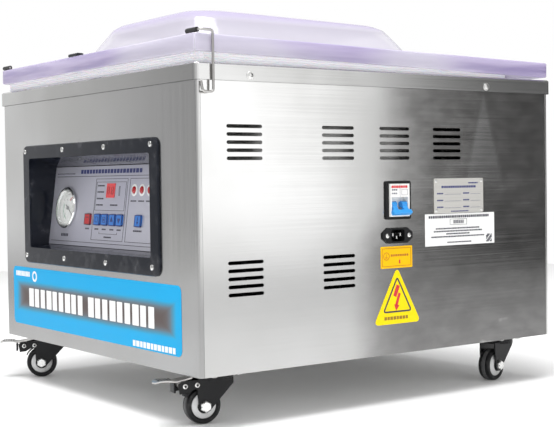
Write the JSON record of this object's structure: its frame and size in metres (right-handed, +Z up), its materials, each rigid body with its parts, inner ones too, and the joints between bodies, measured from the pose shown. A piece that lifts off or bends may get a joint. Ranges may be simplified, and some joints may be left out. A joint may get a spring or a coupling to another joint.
{
  "type": "vacuum chamber sealer",
  "caption": "Floor-standing chamber vacuum sealer: brushed steel cabinet on swivel casters, clear domed lid, recessed control panel with a dial gauge and keys, side breaker and power inlet.",
  "frame": {"origin": "on the floor under the middle of the cabinet", "axes": "+Z up, +Y to the rear where the lid is hinged, +X to the right of someone at the control panel"},
  "size_m": [0.6199, 0.7024, 0.5657],
  "materials": {
    "cabinet_steel": "brushed stainless sheet",
    "chamber_steel": "deep-drawn stainless",
    "clear_acrylic": "clear acrylic with polished edges",
    "silicone": "translucent white silicone",
    "gloss_black": "polished",
    "matte_black": "fine grain",
    "panel_aluminium": "printed satin",
    "bar_aluminium": "extruded",
    "gauge_white": "enamelled dial",
    "gauge_glass": "clear",
    "needle_black": "satin",
    "key_red": "satin",
    "key_blue": "satin",
    "breaker_white": "moulded",
    "breaker_blue": "moulded",
    "plate_aluminium": "printed plate",
    "board_white": "machined polyethylene",
    "zinc": "bright zinc plate",
    "caster_black": "black lacquer",
    "tyre_black": "moulded",
    "cast_grey": "grey enamel",
    "core_iron": "varnished laminations",
    "hose_grey": "ribbed",
    "sleeve_black": "smooth"
  },
  "bodies": {
    "cabinet": {"base_plate": "cabinet_steel", "front_panel": "cabinet_steel", "left_side_panel": "cabinet_steel", "right_side_panel": "cabinet_steel", "rear_panel": "cabinet_steel", "rim_deck": "cabinet_steel", "vacuum_chamber": "chamber_steel", "filler_board": "board_white", "front_bar_lifter": "bar_aluminium", "rear_bar_lifter": "bar_aluminium", "hinge_bracket_left": "zinc", "hinge_bracket_right": "zinc", "control_bezel": "gloss_black", "control_housing": "gloss_black", "control_panel": "panel_aluminium", "gauge_case": "gauge_white", "gauge_glass": "gauge_glass", "switch_frame": "matte_black", "switch_body": "breaker_white", "power_inlet": "matte_black", "data_plate": "plate_aluminium", "vacuum_pump": "cast_grey", "transformer": "core_iron", "vacuum_hose": "hose_grey", "front_left_plate": "caster_black", "front_right_plate": "caster_black", "rear_left_plate": "caster_black", "rear_right_plate": "caster_black"},
    "lid": {"lid": "clear_acrylic", "lid_gasket": "silicone", "front_counter_bar": "silicone", "rear_counter_bar": "silicone", "hinge_arm_left": "zinc", "hinge_arm_right": "zinc", "lift_tab": "gloss_black"},
    "left_clip": {"left_clip_wire": "zinc", "left_clip_sleeve": "sleeve_black"},
    "right_clip": {"right_clip_wire": "zinc", "right_clip_sleeve": "sleeve_black"},
    "front_bar": {"front_seal_bar": "bar_aluminium"},
    "rear_bar": {"rear_seal_bar": "bar_aluminium"},
    "pump_fan": {"motor_fan": "matte_black"},
    "needle": {"gauge_needle": "needle_black"},
    "stop_key": {"stop_button": "key_red"},
    "select_key": {"select_button": "key_blue"},
    "set_key": {"set_button": "key_blue"},
    "up_key": {"up_button": "key_blue"},
    "down_key": {"down_button": "key_blue"},
    "cycle_key": {"cycle_button": "key_blue"},
    "breaker_lever": {"switch_lever": "breaker_blue"},
    "front_left_swivel": {"front_left_fork": "caster_black"},
    "front_left_roller": {"front_left_wheel": "tyre_black"},
    "front_left_brake": {"front_left_pedal": "zinc"},
    "front_right_swivel": {"front_right_fork": "caster_black"},
    "front_right_roller": {"front_right_wheel": "tyre_black"},
    "front_right_brake": {"front_right_pedal": "zinc"},
    "rear_left_swivel": {"rear_left_fork": "caster_black"},
    "rear_left_roller": {"rear_left_wheel": "tyre_black"},
    "rear_right_swivel": {"rear_right_fork": "caster_black"},
    "rear_right_roller": {"rear_right_wheel": "tyre_black"}
  },
  "joints": [
    {"name": "lid_hinge", "type": "hinge", "parent": "cabinet", "child": "lid", "pos_m": [0, 0.3415, 0.47], "axis": [-1, 0, 0], "range_deg": [0, 55]},
    {"name": "left_clip_swing", "type": "hinge", "parent": "lid", "child": "left_clip", "pos_m": [0, -0.322, 0.5105], "axis": [-1, 0, 0], "range_deg": [0, 100]},
    {"name": "right_clip_swing", "type": "hinge", "parent": "lid", "child": "right_clip", "pos_m": [0, -0.322, 0.5105], "axis": [-1, 0, 0], "range_deg": [0, 100]},
    {"name": "front_bar_rise", "type": "slide", "parent": "cabinet", "child": "front_bar", "axis": [0, 0, 1], "range_m": [0, 0.012]},
    {"name": "rear_bar_rise", "type": "slide", "parent": "cabinet", "child": "rear_bar", "axis": [0, 0, 1], "range_m": [0, 0.012]},
    {"name": "fan_spin", "type": "hinge", "parent": "cabinet", "child": "pump_fan", "pos_m": [0.107, 0.06, 0.15], "axis": [1, 0, 0], "continuous": true},
    {"name": "needle_turn", "type": "hinge", "parent": "cabinet", "child": "needle", "pos_m": [-0.1435, -0.28872, 0.28058], "axis": [0, 0.9911, -0.1329], "range_deg": [-60, 200]},
    {"name": "stop_press", "type": "slide", "parent": "cabinet", "child": "stop_key", "axis": [0, 0.9911, -0.1329], "range_m": [0, 0.0012], "stiffness_N_per_m": 400, "springref_m": -0.0002},
    {"name": "select_press", "type": "slide", "parent": "cabinet", "child": "select_key", "axis": [0, 0.9911, -0.1329], "range_m": [0, 0.0012], "stiffness_N_per_m": 400, "springref_m": -0.0002},
    {"name": "set_press", "type": "slide", "parent": "cabinet", "child": "set_key", "axis": [0, 0.9911, -0.1329], "range_m": [0, 0.0012], "stiffness_N_per_m": 400, "springref_m": -0.0002},
    {"name": "up_press", "type": "slide", "parent": "cabinet", "child": "up_key", "axis": [0, 0.9911, -0.1329], "range_m": [0, 0.0012], "stiffness_N_per_m": 400, "springref_m": -0.0002},
    {"name": "down_press", "type": "slide", "parent": "cabinet", "child": "down_key", "axis": [0, 0.9911, -0.1329], "range_m": [0, 0.0012], "stiffness_N_per_m": 400, "springref_m": -0.0002},
    {"name": "cycle_press", "type": "slide", "parent": "cabinet", "child": "cycle_key", "axis": [0, 0.9911, -0.1329], "range_m": [0, 0.0012], "stiffness_N_per_m": 400, "springref_m": -0.0002},
    {"name": "breaker_throw", "type": "hinge", "parent": "cabinet", "child": "breaker_lever", "pos_m": [0.301, 0.009, 0.283], "axis": [0, -1, 0], "range_deg": [0, 80]},
    {"name": "front_left_turn", "type": "hinge", "parent": "cabinet", "child": "front_left_swivel", "pos_m": [-0.246, -0.267, 0], "axis": [0, 0, 1], "continuous": true},
    {"name": "front_left_roll", "type": "hinge", "parent": "front_left_swivel", "child": "front_left_roller", "pos_m": [-0.25553, -0.28571, 0.0245], "axis": [0.891, -0.454, 0], "continuous": true},
    {"name": "front_left_brake_press", "type": "hinge", "parent": "front_left_swivel", "child": "front_left_brake", "pos_m": [-0.26811, -0.31039, 0.053], "axis": [0.891, -0.454, 0], "range_deg": [0, 12]},
    {"name": "front_right_turn", "type": "hinge", "parent": "cabinet", "child": "front_right_swivel", "pos_m": [0.246, -0.267, 0], "axis": [0, 0, 1], "continuous": true},
    {"name": "front_right_roll", "type": "hinge", "parent": "front_right_swivel", "child": "front_right_roller", "pos_m": [0.24163, -0.28754, 0.0245], "axis": [0.9781, -0.2079, 0], "continuous": true},
    {"name": "front_right_brake_press", "type": "hinge", "parent": "front_right_swivel", "child": "front_right_brake", "pos_m": [0.23588, -0.31464, 0.053], "axis": [0.9781, -0.2079, 0], "range_deg": [0, 12]},
    {"name": "rear_left_turn", "type": "hinge", "parent": "cabinet", "child": "rear_left_swivel", "pos_m": [-0.246, 0.267, 0], "axis": [0, 0, 1], "continuous": true},
    {"name": "rear_left_roll", "type": "hinge", "parent": "rear_left_swivel", "child": "rear_left_roller", "pos_m": [-0.24163, 0.24646, 0.0245], "axis": [0.9781, 0.2079, 0], "continuous": true},
    {"name": "rear_right_turn", "type": "hinge", "parent": "cabinet", "child": "rear_right_swivel", "pos_m": [0.246, 0.267, 0], "axis": [0, 0, 1], "continuous": true},
    {"name": "rear_right_roll", "type": "hinge", "parent": "rear_right_swivel", "child": "rear_right_roller", "pos_m": [0.25037, 0.24646, 0.0245], "axis": [0.9781, 0.2079, 0], "continuous": true}
  ]
}
